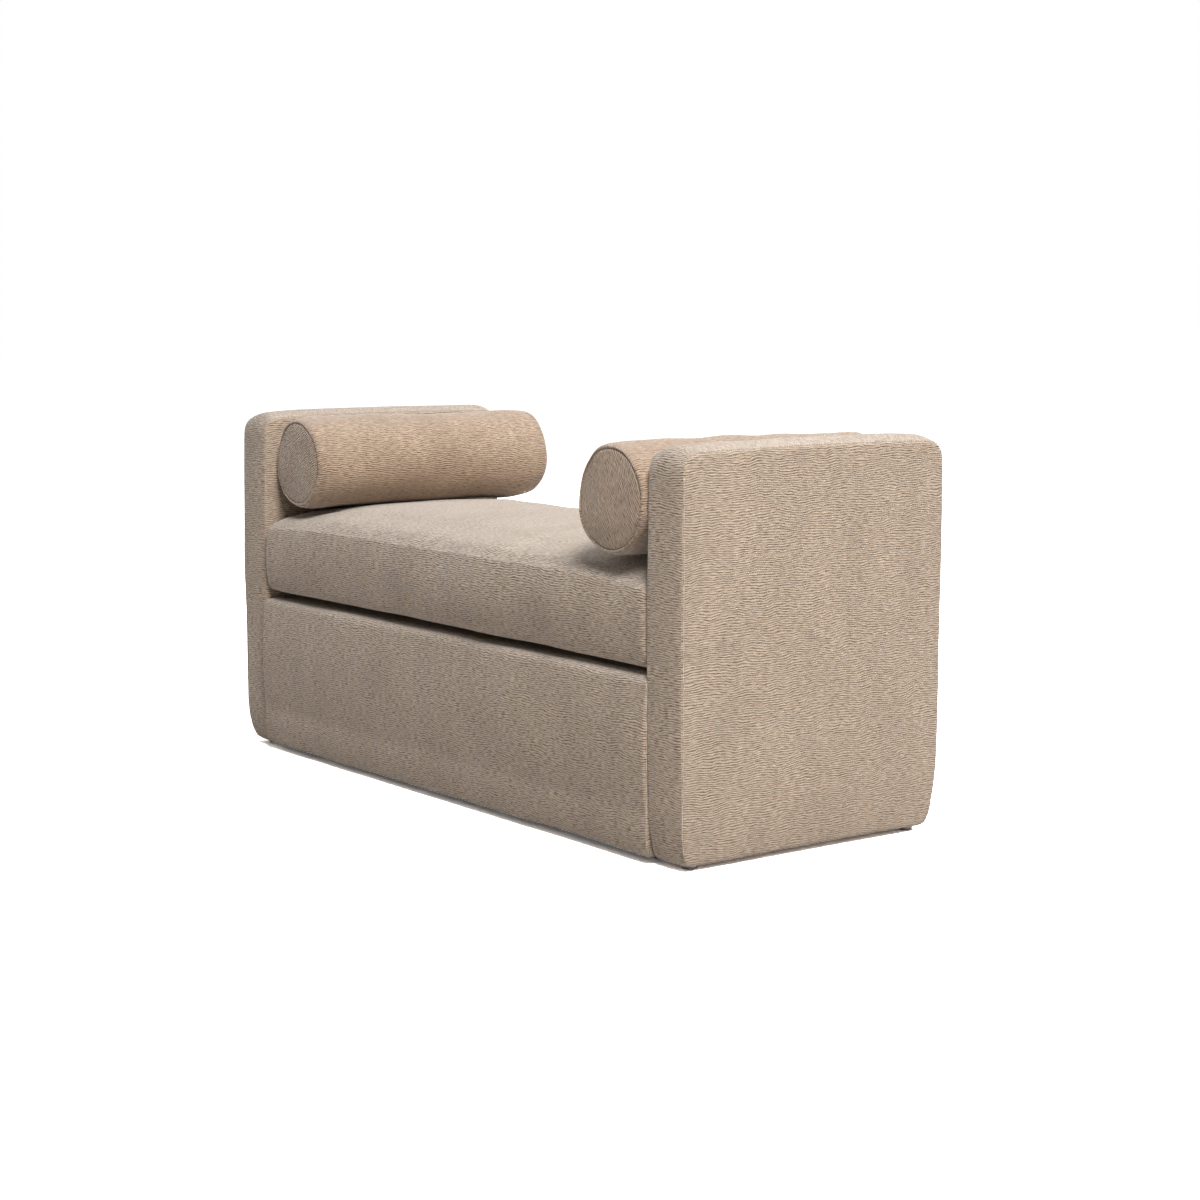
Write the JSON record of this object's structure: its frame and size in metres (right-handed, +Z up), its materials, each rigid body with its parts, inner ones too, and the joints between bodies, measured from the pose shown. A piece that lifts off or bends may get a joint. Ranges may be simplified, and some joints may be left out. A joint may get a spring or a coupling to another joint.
{
  "type": "backless divan",
  "caption": "Upholstered backless divan: a bench between two slab arms, with a loose seat cushion and a loose bolster at each arm.",
  "frame": {"origin": "on the floor under the middle of the divan", "axes": "+X along the bench towards the right arm as seen from the front, the front faces -Y, +Z up"},
  "size_m": [1.52, 0.626, 0.723],
  "materials": {
    "chenille": "beige crinkle chenille with fine wavy ribs",
    "deck_fabric": "plain woven decking cloth",
    "dust_fabric": "black non-woven",
    "zip_tape": "woven tape with nylon coil",
    "zip_metal": "plated",
    "foam": "open-cell foam",
    "fibre": "polyester fibre",
    "spring_steel": "bare spring steel",
    "zinc_steel": "bright zinc plated",
    "glide_plastic": "black moulded plastic",
    "hardboard": "brown hardboard",
    "plywood": "birch plywood",
    "frame_wood": "planed pine"
  },
  "bodies": {
    "frame": {"arm_bolt_washers": "zinc_steel", "arm_bolts": "zinc_steel", "arm_left_back_post": "frame_wood", "arm_left_bottom_rail": "frame_wood", "arm_left_cover": "chenille", "arm_left_front_post": "frame_wood", "arm_left_inner_board": "plywood", "arm_left_middle_rail": "frame_wood", "arm_left_outer_board": "plywood", "arm_left_padding": "foam", "arm_left_top_rail": "frame_wood", "arm_right_back_post": "frame_wood", "arm_right_bottom_rail": "frame_wood", "arm_right_cover": "chenille", "arm_right_front_post": "frame_wood", "arm_right_inner_board": "plywood", "arm_right_middle_rail": "frame_wood", "arm_right_outer_board": "plywood", "arm_right_padding": "foam", "arm_right_top_rail": "frame_wood", "arm_tee_nuts": "zinc_steel", "base_back_board": "hardboard", "base_back_cover": "chenille", "base_back_floor_rail": "frame_wood", "base_back_padding": "foam", "base_back_seat_rail": "frame_wood", "base_corner_blocks": "frame_wood", "base_cross_rails": "frame_wood", "base_front_board": "hardboard", "base_front_cover": "chenille", "base_front_floor_rail": "frame_wood", "base_front_padding": "foam", "base_front_seat_rail": "frame_wood", "base_left_end_panel": "plywood", "base_right_end_panel": "plywood", "base_uprights": "frame_wood", "deck_cloth": "deck_fabric", "deck_cover": "deck_fabric", "deck_pad": "foam", "dust_cover": "dust_fabric", "floor_glides": "glide_plastic", "frame_screws": "zinc_steel", "glide_nails": "spring_steel", "seat_springs": "spring_steel", "spring_clips": "spring_steel"},
    "seat_cushion": {"seat_cushion_core": "foam", "seat_cushion_cover": "chenille", "seat_cushion_wrap": "fibre", "seat_cushion_zip": "zip_tape"},
    "bolster_left": {"bolster_left_core": "fibre", "bolster_left_cover": "chenille", "bolster_left_zip": "zip_tape"},
    "bolster_right": {"bolster_right_core": "fibre", "bolster_right_cover": "chenille", "bolster_right_zip": "zip_tape"},
    "seat_zip_slider": {"seat_cushion_zip_slider": "zip_metal"},
    "left_zip_slider": {"bolster_left_zip_slider": "zip_metal"},
    "right_zip_slider": {"bolster_right_zip_slider": "zip_metal"}
  },
  "joints": [
    {"name": "seat_cushion_lift", "type": "slide", "parent": "frame", "child": "seat_cushion", "axis": [0, 0, 1], "range_m": [0, 0.45]},
    {"name": "bolster_left_lift", "type": "slide", "parent": "seat_cushion", "child": "bolster_left", "axis": [0, 0, 1], "range_m": [0, 0.25]},
    {"name": "bolster_right_lift", "type": "slide", "parent": "seat_cushion", "child": "bolster_right", "axis": [0, 0, 1], "range_m": [0, 0.25]},
    {"name": "seat_zip_run", "type": "slide", "parent": "seat_cushion", "child": "seat_zip_slider", "axis": [1, 0, 0], "range_m": [0, 0.88]},
    {"name": "bolster_left_zip_run", "type": "slide", "parent": "bolster_left", "child": "left_zip_slider", "axis": [0, 1, 0], "range_m": [0, 0.38]},
    {"name": "bolster_right_zip_run", "type": "slide", "parent": "bolster_right", "child": "right_zip_slider", "axis": [0, 1, 0], "range_m": [0, 0.38]}
  ]
}
